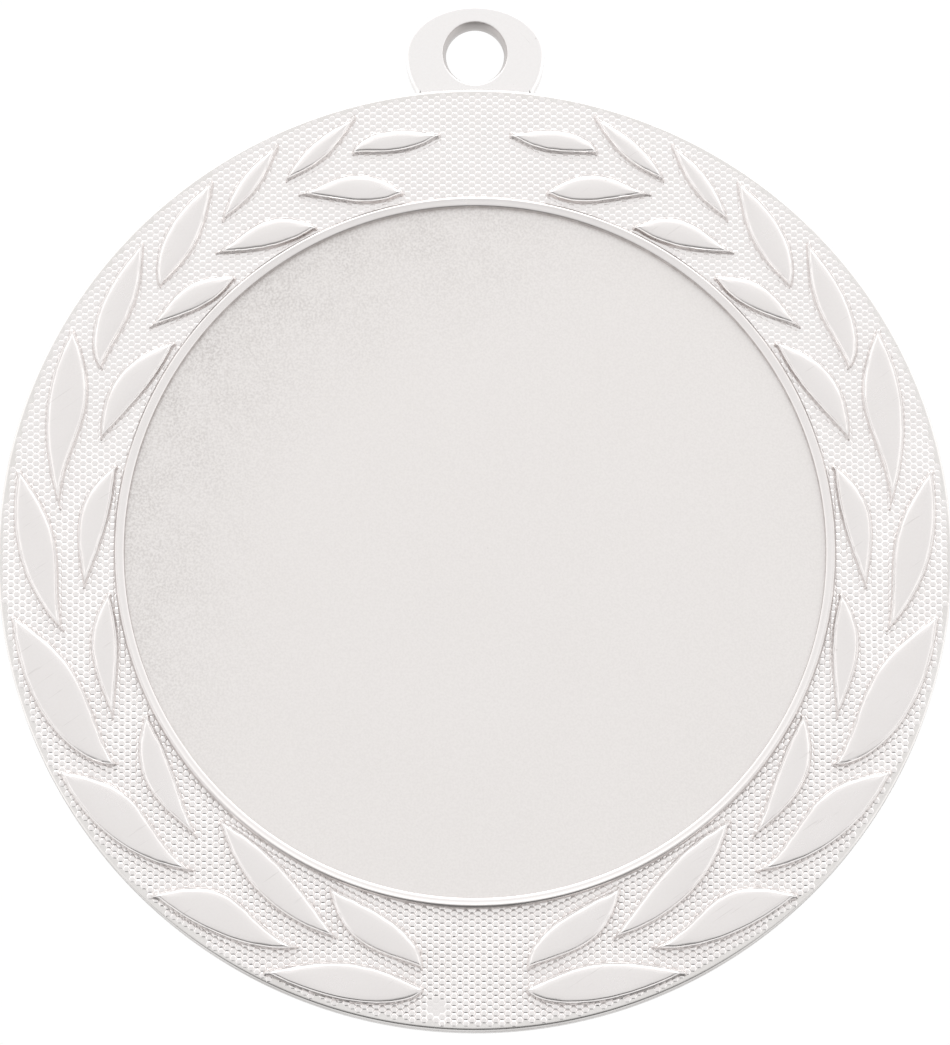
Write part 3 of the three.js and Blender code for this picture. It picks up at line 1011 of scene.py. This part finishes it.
# %% Put the finishes on
finish_of = {
    disc_body: "cast_skin",
    ground_right: "stippled_ground", ground_left: "stippled_ground",
    seat_floor: "blasted_seat", rim_bead: "rim_silver", eye_plate: "eye_silver",
    **{leaf: "leaf_silver" for leaf in leaves},
}
for piece, finish in finish_of.items():
    piece.data.materials.append(finishes[finish])
print("pieces with a finish:", len(finish_of))

# %% [markdown]
# ## The room, the floor and the lamp
#
# Polished silver shows what is round it, so most of the light is a bright room. A few
# lamps would light the flat faces but leave the slopes black, and a room lights every
# slope by the way it faces. The room is white at eye level, brighter overhead and at its
# sides, and dim below, which draws the dark line under each leaf. A large soft lamp
# overhead adds the white edges. The floor is left out of reflections, or its brightness
# would wash those lines away.

# %% The room
ROOM_STEPS = (  # elevation in degrees, brightness
    (-90, 0.10), (-60, 0.14), (-50, 0.24), (-42, 0.52), (-34, 0.88), (-20, 0.985),
    (0, 1.005), (15, 1.01), (25, 1.05), (35, 1.14), (45, 1.24), (60, 1.42), (75, 1.60),
    (90, 1.70),
)
BRIGHTEST = 2.0
SIDE_GAIN = 1.4  # the sides and the ceiling are this much brighter than front and back
FRONT_ENDS = (-0.85, -0.35)  # Y of the directions over which the front gives way to them
BACK_ENDS = (0.95, 0.5)  # and over which the back does
world = bpy.data.worlds.new("white_room")
bpy.context.scene.world = world
world.use_nodes = True
tree = world.node_tree
tree.nodes.clear()
direction = add_node(tree, "ShaderNodeTexCoord").outputs["Generated"]
up = add_node(tree, "ShaderNodeSeparateXYZ", {0: direction}).outputs["Z"]
elevation = add_node(tree, "ShaderNodeMath", {0: up}, operation="ARCSINE")
height_share = add_node(tree, "ShaderNodeMapRange",
                        {"Value": elevation.outputs[0], "From Min": -math.pi / 2,
                         "From Max": math.pi / 2})
ramp = add_node(tree, "ShaderNodeValToRGB", {"Fac": height_share.outputs["Result"]})
while len(ramp.color_ramp.elements) < len(ROOM_STEPS):
    ramp.color_ramp.elements.new(0.5)
for element, (degrees, brightness) in zip(ramp.color_ramp.elements, ROOM_STEPS):
    element.position = (degrees + 90) / 180
    element.color = (*(brightness / BRIGHTEST,) * 3, 1)
depth = add_node(tree, "ShaderNodeSeparateXYZ", {0: direction}).outputs["Y"]
not_in_front = add_node(tree, "ShaderNodeMapRange",
                        {"Value": depth, "From Min": FRONT_ENDS[0],
                         "From Max": FRONT_ENDS[1]})
beside = add_node(tree, "ShaderNodeMapRange",
                  {"Value": depth, "From Min": BACK_ENDS[0], "From Max": BACK_ENDS[1],
                   "To Min": BRIGHTEST, "To Max": BRIGHTEST * SIDE_GAIN})
strength = add_node(tree, "ShaderNodeMapRange",
                    {"Value": not_in_front.outputs["Result"], "To Min": BRIGHTEST,
                     "To Max": beside.outputs["Result"]})
sky = add_node(tree, "ShaderNodeBackground",
               {"Color": ramp.outputs["Color"], "Strength": strength.outputs["Result"]})
output = add_node(tree, "ShaderNodeOutputWorld")
tree.links.new(sky.outputs[0], output.inputs["Surface"])
print("room's brightness, lowest and highest:", ROOM_STEPS[0][1], ROOM_STEPS[-1][1])

# %% The floor
FLOOR_Z, FLOOR_SIZE = -0.20, 3.0
FLOOR_COLOUR, FLOOR_ROUGHNESS = (0.78, 0.775, 0.77, 1), 0.9
bm = bmesh.new()
bmesh.ops.create_grid(bm, x_segments=1, y_segments=1, size=FLOOR_SIZE / 2,
                      matrix=Matrix.Translation((0, 0, FLOOR_Z)))
floor_mesh = bpy.data.meshes.new("studio_floor")
bm.to_mesh(floor_mesh)
bm.free()
studio_floor = bpy.data.objects.new("studio_floor", floor_mesh)
bpy.context.scene.collection.objects.link(studio_floor)
studio_floor.visible_glossy = False
pale = bpy.data.materials.new("pale_floor")
pale.use_nodes = True
set_inputs(pale.node_tree, pale.node_tree.nodes["Principled BSDF"],
           {"Base Color": FLOOR_COLOUR, "Roughness": FLOOR_ROUGHNESS})
floor_mesh.materials.append(pale)
print("floor, m below the eye:", -FLOOR_Z)

# %% The lamp
MEDAL_MIDDLE = (cad_low + cad_high) / 2
LAMP_PLACE, LAMP_WATTS = Vector((0, -0.16, 0.60)), 1.5


def aim(thing, place, target):
    thing.location = place
    thing.rotation_euler = (target - place).to_track_quat("-Z", "Y").to_euler()


lamp_data = bpy.data.lights.new("overhead_softbox", "AREA")
lamp_data.shape, lamp_data.size, lamp_data.size_y = "RECTANGLE", 0.8, 0.5
lamp_data.energy = LAMP_WATTS
lamp = bpy.data.objects.new("overhead_softbox", lamp_data)
bpy.context.scene.collection.objects.link(lamp)
aim(lamp, LAMP_PLACE, MEDAL_MIDDLE)
print("lamp, m from the medal:", round((LAMP_PLACE - MEDAL_MIDDLE).length, 3))

# %% [markdown]
# ## Camera
#
# The medal is seen from the front and a little from below, so that the wall of the eye's
# hole and the lower wall of the disc show. A short lens would bow the disc, so a long one
# from further away keeps it round.

# %% Place the camera
CAMERA_DISTANCE = 0.46
CAMERA_BELOW = math.radians(10)
CAMERA_TARGET = Vector((0, GROUND_Y / MM_PER_M, -0.0357))
FOCAL_LENGTH = 216.0

camera_data = bpy.data.cameras.new("camera")
camera_data.lens, camera_data.sensor_width = FOCAL_LENGTH, 36.0
camera_data.clip_start = 0.01
camera = bpy.data.objects.new("camera", camera_data)
bpy.context.scene.collection.objects.link(camera)
towards = Vector((0, -math.cos(CAMERA_BELOW), -math.sin(CAMERA_BELOW)))
aim(camera, CAMERA_TARGET + CAMERA_DISTANCE * towards, CAMERA_TARGET)
bpy.context.scene.camera = camera
bpy.context.scene.view_settings.view_transform = "Standard"
print("camera, m:", [round(v, 4) for v in camera.location])
